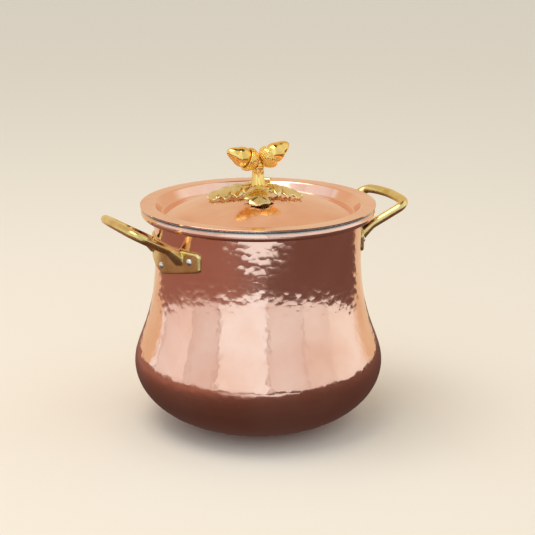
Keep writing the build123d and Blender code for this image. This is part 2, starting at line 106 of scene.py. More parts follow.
def apply_modifier(obj, kind, **settings):
    """Adds a modifier with these settings and applies it."""
    only(obj)
    modifier = obj.modifiers.new(kind.title(), kind)
    for key, value in settings.items():
        setattr(modifier, key, value)
    bpy.ops.object.modifier_apply(modifier=modifier.name)


def smooth(obj, angle=None):
    """Shades the object smooth, or smooth below an angle in degrees."""
    only(obj)
    if angle is None:
        bpy.ops.object.shade_smooth()
    else:
        bpy.ops.object.shade_smooth_by_angle(angle=math.radians(angle))


def start_point(name, x, z):
    """A new mesh that is one point, ready to be drawn out."""
    deselect()
    bpy.ops.mesh.primitive_plane_add(size=0.01)
    obj = bpy.context.active_object
    obj.name = name
    obj.data.name = name
    edit(obj)
    bpy.ops.mesh.merge(type="CENTER")
    bpy.ops.transform.translate(value=(x, 0, z))
    return obj


def lathe(name, outline, steps):
    """Draws the outline point by point in the XZ plane, then spins it round Z."""
    (x0, z0), rest = outline[0], outline[1:]
    obj = start_point(name, x0, z0)
    at = (x0, z0)
    for x, z in rest:
        bpy.ops.mesh.extrude_region_move(
            TRANSFORM_OT_translate={"value": (x - at[0], 0, z - at[1])})
        at = (x, z)
    bpy.ops.mesh.select_all(action="SELECT")
    bpy.ops.mesh.spin(steps=steps, angle=2 * math.pi, center=(0, 0, 0), axis=(0, 0, 1))
    bpy.ops.mesh.select_all(action="SELECT")
    bpy.ops.mesh.remove_doubles(threshold=POINT_GAP)
    bpy.ops.mesh.normals_make_consistent(inside=False)
    leave()
    smooth(obj)
    return obj


def reshape(obj, rule):
    """Moves every point of the mesh by a rule, as a carver would work a casting."""
    for v in obj.data.vertices:
        v.co = Vector(rule(*v.co))
    obj.data.update()


def finish(obj, node, body, material):
    """Gives the piece its material, hangs it under its body and hides the CAD node it stands for.
    """
    obj.data.materials.clear()
    obj.data.materials.append(material)
    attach(obj, body)
    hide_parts(node)
    return obj


def arc_points(cx, cz, radius, a0, a1, count):
    pts = []
    for i in range(count + 1):
        a = math.radians(a0 + (a1 - a0) * i / count)
        pts.append((cx + radius * math.cos(a), cz + radius * math.sin(a)))
    return pts


# --------------------------------------------------------------------- sizes
class PotSizes(bpy.types.PropertyGroup):
    """Sizes of the pot and its rim."""
    belly_r: bpy.props.FloatProperty(
        name="Belly radius", description="Outside radius at the widest level",
        default=126.5 * MM, unit="LENGTH")
    belly_z: bpy.props.FloatProperty(
        name="Belly height", description="Height of the widest level",
        default=64.4 * MM, unit="LENGTH")
    base_r: bpy.props.FloatProperty(
        name="Base radius", description="Radius of the flat the pot stands on",
        default=35.0 * MM, unit="LENGTH")
    neck_r: bpy.props.FloatProperty(
        name="Neck radius", description="Outside radius of the straight neck",
        default=103.8 * MM, unit="LENGTH")
    neck_z: bpy.props.FloatProperty(
        name="Neck height", description="Height where the shoulder becomes the neck",
        default=179.2 * MM, unit="LENGTH")
    shoulder_low: bpy.props.FloatProperty(
        name="Shoulder low reach", description="Pull of the shoulder curve at the belly",
        default=25.0 * MM, unit="LENGTH")
    shoulder_high: bpy.props.FloatProperty(
        name="Shoulder high reach", description="Pull of the shoulder curve at the neck",
        default=72.0 * MM, unit="LENGTH")
    copper: bpy.props.FloatProperty(
        name="Copper sheet", description="Thickness of the copper sheet",
        default=1.6 * MM, unit="LENGTH")
    tin: bpy.props.FloatProperty(
        name="Tin lining", description="Thickness of the wiped tin",
        default=0.4 * MM, unit="LENGTH")
    rim_z: bpy.props.FloatProperty(
        name="Rim height", description="Top of the finished rim",
        default=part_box("pot_tin_lining")[1].z, unit="LENGTH")
    wire_r: bpy.props.FloatProperty(
        name="Rim wire radius", description="Radius of the wire in the rolled rim",
        default=3.3 * MM, unit="LENGTH")
    flare_r: bpy.props.FloatProperty(
        name="Flare radius", description="Outside radius of the flare under the rim",
        default=8.0 * MM, unit="LENGTH")
    bead_r: bpy.props.FloatProperty(
        name="Bead radius", description="Radius of the rim wire's centre line",
        default=112.6 * MM, unit="LENGTH")
    neck_spread: bpy.props.FloatProperty(
        name="Neck spread", description="How far the neck leans out again under the flare",
        default=1.4 * MM, unit="LENGTH")
    hammer_mark: bpy.props.FloatProperty(
        name="Hammer mark", description="Width of one planishing mark",
        default=6.5 * MM, unit="LENGTH")
    hammer_depth: bpy.props.FloatProperty(
        name="Hammer depth", description="Depth of one planishing mark",
        default=0.09 * MM, unit="LENGTH")


class LidSizes(bpy.types.PropertyGroup):
    """Sizes of the lid."""
    lid_r: bpy.props.FloatProperty(
        name="Lid radius", description="Outside radius of the flange",
        default=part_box("lid_shell")[1].x, unit="LENGTH")
    top_z: bpy.props.FloatProperty(
        name="Lid top", description="Height of the flange's top face",
        default=227.7 * MM, unit="LENGTH")
    sheet: bpy.props.FloatProperty(
        name="Lid sheet", description="Thickness of the lid's copper",
        default=1.2 * MM, unit="LENGTH")
    tin: bpy.props.FloatProperty(
        name="Lid tin", description="Thickness of the tin under the lid",
        default=0.3 * MM, unit="LENGTH")
    well_r: bpy.props.FloatProperty(
        name="Well radius", description="Inner edge of the flange",
        default=103.4 * MM, unit="LENGTH")
    floor_r: bpy.props.FloatProperty(
        name="Floor radius", description="Edge of the domed floor",
        default=96.5 * MM, unit="LENGTH")
    depth: bpy.props.FloatProperty(
        name="Well depth", description="Depth of the well at its edge",
        default=10.9 * MM, unit="LENGTH")
    dome: bpy.props.FloatProperty(
        name="Dome", description="Rise of the floor to its crown",
        default=20.2 * MM, unit="LENGTH")
    bend: bpy.props.FloatProperty(
        name="Bend", description="Bend radius at the flange and at the floor",
        default=3.0 * MM, unit="LENGTH")
    hole_r: bpy.props.FloatProperty(
        name="Screw hole", description="Radius of the hole for the knob's screw",
        default=2.0 * MM, unit="LENGTH")
    edge: bpy.props.FloatProperty(
        name="Broken edge", description="How far the flange's sharp edge is taken off",
        default=0.15 * MM, unit="LENGTH")


class KnobSizes(bpy.types.PropertyGroup):
    """Sizes of the acorn knob."""
    turn: bpy.props.FloatProperty(
        name="Turn", description="Direction of the acorn pair round the axis",
        default=math.radians(-5.0), subtype="ANGLE")
    nut_r: bpy.props.FloatProperty(
        name="Nut radius", description="Radius of an acorn's nut",
        default=10.5 * MM, unit="LENGTH")
    nut_l: bpy.props.FloatProperty(
        name="Nut length", description="Length of the nut in front of its cup",
        default=22.5 * MM, unit="LENGTH")
    cup_r: bpy.props.FloatProperty(
        name="Cup radius", description="Radius of an acorn's cup",
        default=12.0 * MM, unit="LENGTH")
    cup_l: bpy.props.FloatProperty(
        name="Cup depth", description="Depth of an acorn's cup",
        default=13.0 * MM, unit="LENGTH")
    seat: bpy.props.FloatProperty(
        name="Nut seat", description="How deep a nut sits in its cup",
        default=4.0 * MM, unit="LENGTH")
    meet: bpy.props.FloatProperty(
        name="Meeting plane", description="Where the two cups meet, along the pair",
        default=1.0 * MM, unit="LENGTH")


class Finishes(bpy.types.PropertyGroup):
    """Colours of the metals and the stage."""
    copper: bpy.props.FloatVectorProperty(
        name="Copper", description="Polished copper",
        default=linear("F6CBB7"), size=4, subtype="COLOR")
    copper_dull: bpy.props.FloatVectorProperty(
        name="Dull copper", description="Slightly tarnished copper",
        default=linear("EDB79E"), size=4, subtype="COLOR")
    tin: bpy.props.FloatVectorProperty(
        name="Tin", description="Wiped tin",
        default=linear("D6D6D2"), size=4, subtype="COLOR")
    tin_worn: bpy.props.FloatVectorProperty(
        name="Worn tin", description="Tin between the wipe marks",
        default=linear("BFC0BE"), size=4, subtype="COLOR")
    brass: bpy.props.FloatVectorProperty(
        name="Handle brass", description="Buffed cast brass",
        default=linear("EBD592"), size=4, subtype="COLOR")
    brass_deep: bpy.props.FloatVectorProperty(
        name="Handle brass, deep", description="Handle brass in its hollows",
        default=linear("C2A45A"), size=4, subtype="COLOR")
    gold_brass: bpy.props.FloatVectorProperty(
        name="Knob brass", description="Polished brass of the knob",
        default=linear("F9D581"), size=4, subtype="COLOR")
    gold_deep: bpy.props.FloatVectorProperty(
        name="Knob brass, deep", description="Knob brass in its hollows",
        default=linear("D9A23F"), size=4, subtype="COLOR")
    pale_brass: bpy.props.FloatVectorProperty(
        name="Leaf brass", description="Paler brass of the leaves",
        default=linear("E7D6A2"), size=4, subtype="COLOR")
    pale_deep: bpy.props.FloatVectorProperty(
        name="Leaf brass, deep", description="Leaf brass in its hollows",
        default=linear("B79F5C"), size=4, subtype="COLOR")
    steel: bpy.props.FloatVectorProperty(
        name="Steel", description="Bright steel",
        default=linear("DAD8D3"), size=4, subtype="COLOR")
    floor: bpy.props.FloatVectorProperty(
        name="Floor", description="Studio floor",
        default=linear("EDE6DB"), size=4, subtype="COLOR")
    table_left: bpy.props.FloatVectorProperty(
        name="Mirrored table, left", description="Lit side of the table that the metal mirrors",
        default=linear("A0766A"), size=4, subtype="COLOR")
    table_right: bpy.props.FloatVectorProperty(
        name="Mirrored table, right", description="Shaded side of the mirrored table",
        default=linear("74564E"), size=4, subtype="COLOR")
    table_near: bpy.props.FloatVectorProperty(
        name="Mirrored table, near", description="Mirrored table in the shade of the pot",
        default=linear("54403B"), size=4, subtype="COLOR")
    lamp: bpy.props.FloatVectorProperty(
        name="Lamp", description="Light of the softbox",
        default=linear("FFF4E6"), size=4, subtype="COLOR")


# ------------------------------------------------------------------- profiles
def belly_point(s, angle, depth):
    a = s.belly_r - s.base_r
    c, n = math.cos(angle), math.sin(angle)
    size = math.hypot(s.belly_z * c, a * n)
    return (s.base_r + a * c - depth * s.belly_z * c / size,
            s.belly_z - s.belly_z * n + depth * a * n / size)


def shoulder_point(s, t, depth):
    z0, z3 = s.belly_z, s.neck_z
    z1, z2 = z0 + s.shoulder_low, z3 - s.shoulder_high
    u = 1 - t
    r = s.belly_r * (u ** 3 + 3 * u * u * t) + s.neck_r * (3 * u * t * t + t ** 3)
    z = z0 * u ** 3 + 3 * z1 * u * u * t + 3 * z2 * u * t * t + z3 * t ** 3
    dr = 6 * u * t * (s.neck_r - s.belly_r)
    dz = 3 * u * u * (z1 - z0) + 6 * u * t * (z2 - z1) + 3 * t * t * (z3 - z2)
    size = math.hypot(dr, dz)
    return (r - depth * dz / size, z + depth * dr / size)


def even(points, step):
    """The same line with its points spaced evenly, about step apart."""
    lengths = [0.0]
    for a, b in zip(points, points[1:]):
        lengths.append(lengths[-1] + math.dist(a, b))
    count = max(1, round(lengths[-1] / step))
    result, k = [], 0
    for i in range(count + 1):
        want = lengths[-1] * i / count
        while k < len(points) - 2 and lengths[k + 1] < want:
            k += 1
        span = lengths[k + 1] - lengths[k]
        f = (want - lengths[k]) / span if span else 0
        result.append(tuple(p + (q - p) * f for p, q in zip(points[k], points[k + 1])))
    return result


def wall_line(s, depth, step):
    """Pot wall at a depth inside its outer skin, from the base's centre to the flare."""
    wire_z = s.rim_z - s.tin - s.copper - s.wire_r
    flare_z = wire_z + s.wire_r - s.flare_r
    curve = [belly_point(s, math.pi / 2 * (1 - i / 80), depth) for i in range(81)]
    curve += [shoulder_point(s, i / 80, depth) for i in range(1, 81)]
    curve.append((s.neck_r - depth, flare_z))
    line = even([(0.0, depth), (s.base_r, depth)], 9 * MM)
    line += even(curve, step)[1:]
    line += arc_points(s.neck_r + s.flare_r, flare_z, s.flare_r + depth, 180, 90, 8)[1:]
    return line, wire_z, flare_z


# ------------------------------------------------------------------- materials
def new_material(name):
    """A material with its node tree and its Principled shader."""
    made = bpy.data.materials.get(name)
    if made:
        return made, None, None
    made = bpy.data.materials.new(name)
    made.use_nodes = True
    tree = made.node_tree
    return made, tree, tree.nodes["Principled BSDF"]


def place_of(tree):
    return add_node(tree, "ShaderNodeTexCoord").outputs["Object"]


def blend_colours(tree, factor, first, second):
    """Mixes two colours, each a socket or a plain value."""
    mixed = add_node(tree, "ShaderNodeMix", {"data_type": "RGBA"}, {0: factor})
    for slot, colour in ((6, first), (7, second)):
        if isinstance(colour, bpy.types.NodeSocket):
            tree.links.new(colour, mixed.inputs[slot])
        else:
            mixed.inputs[slot].default_value = colour
    return mixed.outputs[2]


def combine(tree, operation, first, second):
    """Arithmetic on two sockets or plain numbers."""
    node = add_node(tree, "ShaderNodeMath", {"operation": operation})
    for slot, value in enumerate((first, second)):
        if isinstance(value, bpy.types.NodeSocket):
            tree.links.new(value, node.inputs[slot])
        else:
            node.inputs[slot].default_value = value
    return node.outputs[0]


def spread(tree, value, low, high, to_low, to_high):
    """Maps a value from one range onto another, held at both ends."""
    return add_node(tree, "ShaderNodeMapRange",
                    {1: low, 2: high, 3: to_low, 4: to_high}, {0: value}).outputs[0]


def planished_copper(sizes, finishes):
    """Copper sheet raised and planished with a hammer, then buffed bright.
    Gives the eye mirror-like facets a few millimetres wide with broken reflections."""
    material, tree, shader = new_material("planished_copper")
    if tree is None:
        return material
    place = place_of(tree)
    marks = add_node(tree, "ShaderNodeTexVoronoi",
                     {"Scale": 1 / sizes.hammer_mark, "Randomness": 0.9}, {"Vector": place})
    bowl = combine(tree, "POWER", marks.outputs["Distance"], 2.0)
    dents = add_node(tree, "ShaderNodeBump", {"Strength": 1.0, "Distance": 0.10 * MM},
                     {"Height": bowl})
    wipe = add_node(tree, "ShaderNodeTexNoise", {"Scale": 1 / (60 * MM), "Detail": 4.0},
                    {"Vector": place})
    grain = add_node(tree, "ShaderNodeTexNoise", {"Scale": 1 / (1.2 * MM), "Detail": 2.0},
                     {"Vector": place})
    fine = add_node(tree, "ShaderNodeBump", {"Strength": 0.25, "Distance": 0.01 * MM},
                    {"Height": grain.outputs[0], "Normal": dents.outputs[0]})
    tree.links.new(blend_colours(tree, spread(tree, wipe.outputs[0], 0.35, 0.7, 0, 1),
                                 finishes.copper, finishes.copper_dull),
                   shader.inputs["Base Color"])
    tree.links.new(spread(tree, wipe.outputs[0], 0.3, 0.75, 0.07, 0.15), shader.inputs["Roughness"])
    tree.links.new(fine.outputs[0], shader.inputs["Normal"])
    shader.inputs["Metallic"].default_value = 1.0
    return material


def smooth_copper(finishes):
    """Spun copper sheet, polished smooth.
    Gives the eye a soft clear mirror with faint round buffing lines."""
    material, tree, shader = new_material("smooth_copper")
    if tree is None:
        return material
    place = place_of(tree)
    wipe = add_node(tree, "ShaderNodeTexNoise", {"Scale": 1 / (45 * MM), "Detail": 4.0},
                    {"Vector": place})
    rings = add_node(tree, "ShaderNodeTexWave",
                     {"wave_type": "RINGS", "rings_direction": "Z", "Scale": 1 / (14 * MM),
                      "Distortion": 3.0, "Detail": 3.0}, {"Vector": place})
    buff = add_node(tree, "ShaderNodeBump", {"Strength": 0.08, "Distance": 0.01 * MM},
                    {"Height": rings.outputs[1]})
    tree.links.new(blend_colours(tree, spread(tree, wipe.outputs[0], 0.35, 0.7, 0, 1),
                                 finishes.copper, finishes.copper_dull),
                   shader.inputs["Base Color"])
    tree.links.new(spread(tree, wipe.outputs[0], 0.3, 0.75, 0.10, 0.17), shader.inputs["Roughness"])
    tree.links.new(buff.outputs[0], shader.inputs["Normal"])
    shader.inputs["Metallic"].default_value = 1.0
    return material


def wiped_tin(finishes):
    """Tin melted onto the copper and wiped with a rag.
    Gives the eye a soft grey sheen with broad uneven wipe marks."""
    material, tree, shader = new_material("wiped_tin")
    if tree is None:
        return material
    place = place_of(tree)
    stretch = add_node(tree, "ShaderNodeMapping", {"Scale": (1.0, 1.0, 0.25)}, {"Vector": place})
    wipes = add_node(tree, "ShaderNodeTexNoise",
                     {"Scale": 1 / (9 * MM), "Detail": 5.0, "Distortion": 0.6},
                     {"Vector": stretch.outputs[0]})
    relief = add_node(tree, "ShaderNodeBump", {"Strength": 0.35, "Distance": 0.06 * MM},
                      {"Height": wipes.outputs[0]})
    tree.links.new(blend_colours(tree, wipes.outputs[0], finishes.tin, finishes.tin_worn),
                   shader.inputs["Base Color"])
    tree.links.new(spread(tree, wipes.outputs[0], 0.3, 0.7, 0.24, 0.40), shader.inputs["Roughness"])
    tree.links.new(relief.outputs[0], shader.inputs["Normal"])
    shader.inputs["Metallic"].default_value = 1.0
    return material


def cast_brass(name, bright, deep, rough, skin_mm, relief_mm):
    """Sand-cast brass, filed and buffed.
    Gives the eye a warm sheen with a faintly uneven skin."""
    material, tree, shader = new_material(name)
    if tree is None:
        return material
    place = place_of(tree)
    skin = add_node(tree, "ShaderNodeTexNoise", {"Scale": 1 / (skin_mm * MM), "Detail": 3.0},
                    {"Vector": place})
    tone = add_node(tree, "ShaderNodeTexNoise", {"Scale": 1 / (18 * MM), "Detail": 3.0},
                    {"Vector": place})
    relief = add_node(tree, "ShaderNodeBump", {"Strength": 0.5, "Distance": relief_mm * MM},
                      {"Height": skin.outputs[0]})
    depth = spread(tree, tone.outputs[0], 0.4, 0.75, 0, 0.7)
    tree.links.new(blend_colours(tree, depth, bright, deep), shader.inputs["Base Color"])
    tree.links.new(spread(tree, skin.outputs[0], 0.3, 0.7, rough * 0.8, rough * 1.3),
                   shader.inputs["Roughness"])
    tree.links.new(relief.outputs[0], shader.inputs["Normal"])
    shader.inputs["Metallic"].default_value = 1.0
    return material


def knob_brass(finishes):
    """Cast brass of the stem and the acorns, polished to a clear gold."""
    return cast_brass("polished_knob_brass", finishes.gold_brass, finishes.gold_deep,
                      0.10, 2.5, 0.04)


def bright_steel(finishes):
    """Cold-headed steel, bright.
    Gives the eye a small hard highlight on a cool grey."""
    material, tree, shader = new_material("bright_steel")
    if tree is None:
        return material
    place = place_of(tree)
    scuff = add_node(tree, "ShaderNodeTexNoise", {"Scale": 1 / (1.5 * MM), "Detail": 2.0},
                     {"Vector": place})
    relief = add_node(tree, "ShaderNodeBump", {"Strength": 0.3, "Distance": 0.03 * MM},
                      {"Height": scuff.outputs[0]})
    tree.links.new(spread(tree, scuff.outputs[0], 0.3, 0.7, 0.16, 0.28), shader.inputs["Roughness"])
    tree.links.new(relief.outputs[0], shader.inputs["Normal"])
    shader.inputs["Base Color"].default_value = finishes.steel
    shader.inputs["Metallic"].default_value = 1.0
    return material


# ------------------------------------------------------------------- operators
class POT_OT_shell(bpy.types.Operator):
    """Raises the copper pot, rolls its rim and planishes its outside."""
    bl_idname = "soup_pot.shell"
    bl_label = "Copper shell"

    def execute(self, context):
        s = context.scene.pot_sizes
        outer, wire_z, flare_z = wall_line(s, 0.0, 2.0 * MM)
        inner, _, _ = wall_line(s, s.copper, 9 * MM)
        curl = arc_points(s.bead_r, wire_z, s.wire_r, 90, -165, 14)
        edge = arc_points(s.bead_r, wire_z, s.wire_r + s.copper, -165, 90, 22)
        outline = outer + curl + edge + inner[::-1]
        obj = lathe("pot_copper_shell", outline, POT_STEPS)
        marks = obj.vertex_groups.new(name="planished")
        top = flare_z - 4 * MM
        flare = 3 * MM
        reach = 0.5 * s.copper
        for v in obj.data.vertices:
            r = math.hypot(v.co.x, v.co.y)
            out = self.outside(s, r, v.co.z, reach)
            fade = min(1.0, max(0.0, (top - v.co.z) / (6 * MM)))
            weight = fade * min(1.0, max(0.0, (r - s.base_r) / (15 * MM)))
            if out and weight > 0:
                marks.add([v.index], weight, "REPLACE")
            if out and v.co.z > s.neck_z and r < s.neck_r + flare:
                rise = min(1.0, (v.co.z - s.neck_z) / (flare_z - s.neck_z))
                ease = min(1.0, (s.neck_r + flare - r) / flare)
                k = 1 + s.neck_spread * rise ** 2 * ease / r
                v.co.x *= k
                v.co.y *= k
        texture = bpy.data.textures.new("planishing", "VORONOI")
        texture.noise_scale = s.hammer_mark
        texture.distance_metric = "DISTANCE_SQUARED"
        apply_modifier(obj, "DISPLACE", texture=texture, texture_coords="LOCAL",
                       strength=s.hammer_depth * 2, mid_level=0.35, vertex_group="planished")
        obj.vertex_groups.clear()
        finish(obj, "pot_shell", "pot",
               planished_copper(s, context.scene.pot_finishes))
        return {"FINISHED"}

    @staticmethod
    def outside(s, r, z, reach):
        """Whether a point of the shell lies on its outer skin."""
        if z <= s.belly_z:
            a = s.belly_r - s.base_r
            if r <= s.base_r:
                return z < reach
            size = math.hypot((r - s.base_r) / a, (z - s.belly_z) / s.belly_z)
            return size > 1 - reach / a
        if z >= s.neck_z:
            return r > s.neck_r - reach
        low, high = 0.0, 1.0
        for _ in range(24):
            mid = (low + high) / 2
            if shoulder_point(s, mid, 0)[1] < z:
                low = mid
            else:
                high = mid
        return r > shoulder_point(s, low, 0)[0] - reach


class POT_OT_lining(bpy.types.Operator):
    """Lines the pot with tin, wiped over the rim."""
    bl_idname = "soup_pot.lining"
    bl_label = "Tin lining"

    def execute(self, context):
        s = context.scene.pot_sizes
        outer, wire_z, _ = wall_line(s, s.copper, 6 * MM)
        inner, _, _ = wall_line(s, s.copper + s.tin, 6 * MM)
        lip = arc_points(s.bead_r, wire_z, s.wire_r + s.copper, 90, 35, 8)
        lip += arc_points(s.bead_r, wire_z, s.wire_r + s.copper + s.tin, 35, 90, 8)
        obj = lathe("pot_tin_skin", outer + lip + inner[::-1], POT_STEPS)
        finish(obj, "pot_tin_lining", "pot", wiped_tin(context.scene.pot_finishes))
        return {"FINISHED"}


class POT_OT_lid(bpy.types.Operator):
    """Presses the lid: flange, well and domed floor, with tin below."""
    bl_idname = "soup_pot.lid"
    bl_label = "Lid"

    @staticmethod
    def bend(points, at, radius, count):
        """Rounds the corner of a line at one point."""
        a, b, c = (Vector(p) for p in (points[at - 1], points[at], points[at + 1]))
        u, v = (a - b).normalized(), (c - b).normalized()
        half = u.angle(v) / 2
        cut = radius / math.tan(half)
        centre = b + (u + v).normalized() * (radius / math.sin(half))
        start, end = b + u * cut - centre, b + v * cut - centre
        turn = math.atan2(start.x * end.y - start.y * end.x, start.dot(end))
        arc = []
        for i in range(count + 1):
            arc.append(tuple(centre + Matrix.Rotation(turn * i / count, 2) @ start))
        return points[:at] + arc + points[at + 1:]

    def surface(self, s, depth):
        """The lid's section at a depth under its top face, from the crown outward."""
        crown = s.top_z - s.depth + s.dome
        dome_r = (s.floor_r ** 2 + s.dome ** 2) / (2 * s.dome)
        wall = Vector((s.well_r - s.floor_r, s.depth)).normalized()
        out = Vector((wall.y, -wall.x))
        start = Vector((s.floor_r, s.top_z - s.depth)) + out * depth
        top = start + wall * ((s.top_z - depth - start.y) / wall.y)
        rel = start - Vector((0, crown - dome_r))
        b = rel.dot(wall)
        foot = start + wall * (-b + math.sqrt(max(b * b - rel.dot(rel) + (dome_r - depth) ** 2, 0)))
        angle = math.degrees(math.atan2(foot.y - crown + dome_r, foot.x))
        dome_steps = 40
        line = arc_points(0, crown - dome_r, dome_r - depth, 90, angle, dome_steps)
        line = line[:-1] + [tuple(foot), tuple(top), (s.lid_r, s.top_z - depth)]
        line = self.bend(line, len(line) - 2, s.bend - depth, 8)
        return self.bend(line, dome_steps, s.bend + depth, 8)

    def layer(self, name, s, near, far):
        top, under = self.surface(s, near), self.surface(s, far)
        top = [(max(x, s.hole_r), z) for x, z in top]
        under = [(max(x, s.hole_r), z) for x, z in under]
        edge = [(s.lid_r - s.edge, s.top_z - near), (s.lid_r, s.top_z - near - s.edge),
                (s.lid_r, s.top_z - far)]
        outline = top[:-1] + edge + under[::-1][1:] + [top[0]]
        return lathe(name, outline, LID_STEPS)

    def execute(self, context):
        s, f = context.scene.lid_sizes, context.scene.pot_finishes
        shell = self.layer("lid_copper_shell", s, 0.0, s.sheet)
        smooth(shell, 35)
        finish(shell, "lid_shell", "lid", smooth_copper(f))
        skin = self.layer("lid_tin_skin", s, s.sheet, s.sheet + s.tin)
        smooth(skin, 35)
        finish(skin, "lid_tin_lining", "lid", wiped_tin(f))
        return {"FINISHED"}


class POT_OT_handles(bpy.types.Operator):
    """Casts the two handles: soft edges and full fillets, from the CAD shapes."""
    bl_idname = "soup_pot.handles"
    bl_label = "Handles"

    def execute(self, context):
        f = context.scene.pot_finishes
        material = cast_brass("buffed_cast_brass", f.brass, f.brass_deep, 0.2, 1.6, 0.05)
        for side in ("left", "right"):
            node = f"handle_{side}"
            obj = copy_of_node(node, f"cast_handle_{side}")
            apply_modifier(obj, "REMESH", mode="VOXEL", voxel_size=0.6 * MM)
            apply_modifier(obj, "SMOOTH", factor=0.5, iterations=14)
            smooth(obj)
            finish(obj, node, "pot", material)
        return {"FINISHED"}


def copy_of_node(node, name):
    """A merged copy of a CAD node's mesh, as the blank for a casting."""
    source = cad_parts[node]
    obj = bpy.data.objects.new(name, source.data.copy())
    bpy.context.scene.collection.objects.link(obj)
    obj.data.name = name
    edit(obj)
    bpy.ops.mesh.remove_doubles(threshold=1e-6)
    leave()
    return obj


def to_knob(obj, k, crown):
    """Turns a knob piece to the acorns' direction and lifts it onto the lid."""
    obj.data.transform(Matrix.Translation((0, 0, crown)) @ Matrix.Rotation(k.turn, 4, "Z"))


def crown_of(s):
    """Height of the lid's crown."""
    return s.top_z - s.depth + s.dome


def lid_drop(s, r):
    """How far the domed floor lies below the crown, at radius r."""
    dome_r = (s.floor_r ** 2 + s.dome ** 2) / (2 * s.dome)
    return dome_r - math.sqrt(dome_r ** 2 - r * r)


class POT_OT_stem(bpy.types.Operator):
    """Casts the knob's stem: a twisted, fluted branch on a spread foot."""
    bl_idname = "soup_pot.stem"
    bl_label = "Stem"

    def execute(self, context):
        f = context.scene.pot_finishes
        obj = copy_of_node("knob_branch", "knob_stem")
        apply_modifier(obj, "REMESH", mode="VOXEL", voxel_size=0.5 * MM)
        apply_modifier(obj, "SMOOTH", factor=0.5, iterations=10)
        crown = crown_of(context.scene.lid_sizes)
        # flutes run between these heights in millimetres and turn as they rise
        flutes, low, high, twist = 9, 1, 24, 0.018

        def flute(x, y, z):
            h = (z - crown) / MM
            r = math.hypot(x, y)
            if r < 4 * MM or h < low or h > high:
                return x, y, z
            a = math.atan2(y, x) + twist * h
            depth = 0.07 * min(1, (h - low) / 3) * min(1, (high - h) / 4)
            groove = (0.5 - 0.5 * math.cos(flutes * a)) ** 2
            k = 1 - depth * groove - 0.02 * math.cos(5 * a + 0.2 * h)
            return x * k, y * k, z
        reshape(obj, flute)
        smooth(obj)
        finish(obj, "knob_branch", "lid", knob_brass(f))
        return {"FINISHED"}


LIP_SHARE = 0.86     # width of a nut at its cup, as a share of its widest
# back of each cup in millimetres along, across and up from the crown, and its rise in degrees
ACORNS = {"left": ((-0.5, 0.0, 31.0), 24.0), "right": ((2.5, 0.0, 31.0), 30.0)}


class POT_OT_acorns(bpy.types.Operator):
    """Makes the two acorns: polished nuts in scaly cups."""
    bl_idname = "soup_pot.acorns"
    bl_label = "Acorns"

    def nut(self, k, name):
        seat = k.cup_l - k.seat
        lip = k.nut_r * LIP_SHARE
        line = [(0.0, seat), (lip, seat), (lip, k.cup_l)]
        for i in range(1, 25):
            t = i / 24
            swell = (1 - t ** 2.2) ** 0.62
            r = (lip + (k.nut_r - lip) * math.sin(math.pi * min(t / 0.56, 1))) * swell
            tip = 0.09 * k.nut_r * (1 - t)
            line.append((max(r + tip * (t > 0.9), 0.0), k.cup_l + k.nut_l * t))
        return lathe(name, line, NUT_STEPS)

    def cup(self, k, name):
        seat = k.cup_l - k.seat
        lip = k.nut_r * LIP_SHARE
        rows = SCALE_ROWS
        line = [(0.0, 0.0)]
        for i in range(1, rows + 1):
            t = i / rows
            r = k.cup_r * math.sin(math.pi / 2 * min(t * 1.12, 1.0)) ** 0.75
            z = k.cup_l * (1 - math.cos(t * math.pi / 2)) ** 0.72
            line.append((r - 0.6 * MM * max(0, t - 0.85) / 0.15, z))
        wall, play = 1.5 * MM, 0.1 * MM
        line += [(lip + wall, k.cup_l), (lip + play, k.cup_l), (lip + play, seat), (0.0, seat)]
        obj = lathe(name, line, SCALES)
        # every second row of scales is turned by half a scale
        half = math.pi / SCALES
        for i, (r, z) in enumerate(line[1:rows]):
            if i % 2:
                turn = Matrix.Rotation(half, 3, "Z")
                for v in obj.data.vertices:
                    if abs(v.co.z - z) < 1e-6 and abs(math.hypot(v.co.x, v.co.y) - r) < 1e-5:
                        v.co = turn @ v.co
        edit(obj, "DESELECT")
        leave()
        for face in obj.data.polygons:
            c = face.center
            outward = face.normal.dot(Vector((c.x, c.y, c.z - 0.6 * k.cup_l))) > 0
            clear = c.z < k.cup_l - 0.3 * MM and math.hypot(c.x, c.y) > 2.5 * MM
            face.select = outward and clear
        only(obj)
        bpy.ops.object.mode_set(mode="EDIT")
        groove = 0.35 * MM
        bpy.ops.mesh.inset(thickness=groove, depth=0.0, use_individual=True)
        bpy.ops.mesh.inset(thickness=groove, depth=0.5 * MM, use_individual=True)
        leave()
        apply_modifier(obj, "SUBSURF", levels=2, render_levels=2)
        return obj

    def execute(self, context):
        k, f = context.scene.knob_sizes, context.scene.pot_finishes
        gold = knob_brass(f)
        crown = crown_of(context.scene.lid_sizes)
        for side, (back, rise) in ACORNS.items():
            hand = -1 if side == "left" else 1
            a = math.radians(rise)
            way = Vector((hand * math.cos(a), 0, math.sin(a)))
            across = Vector((0, 1, 0))
            third = way.cross(across)
            turn = Matrix((across, third, way)).transposed().to_4x4()
            place = Matrix.Translation(Vector(back) * MM) @ turn
            for kind in ("nut", "cup"):
                obj = getattr(self, kind)(k, f"acorn_{kind}_{side}")
                if turn.determinant() < 0:
                    obj.data.flip_normals()
                obj.data.transform(place)
                if kind == "cup":
                    self.trim(obj, hand, k.meet)
                to_knob(obj, k, crown)
                smooth(obj)
                finish(obj, f"acorn_{side}_{kind}", "lid", gold)
        return {"FINISHED"}

    @staticmethod
    def trim(obj, hand, meet):
        """Cuts a cup off at the middle plane, where the two meet."""
        edit(obj)
        bpy.ops.mesh.bisect(plane_co=(meet, 0, 0), plane_no=(-hand, 0, 0),
                            use_fill=True, clear_outer=True)
        leave()


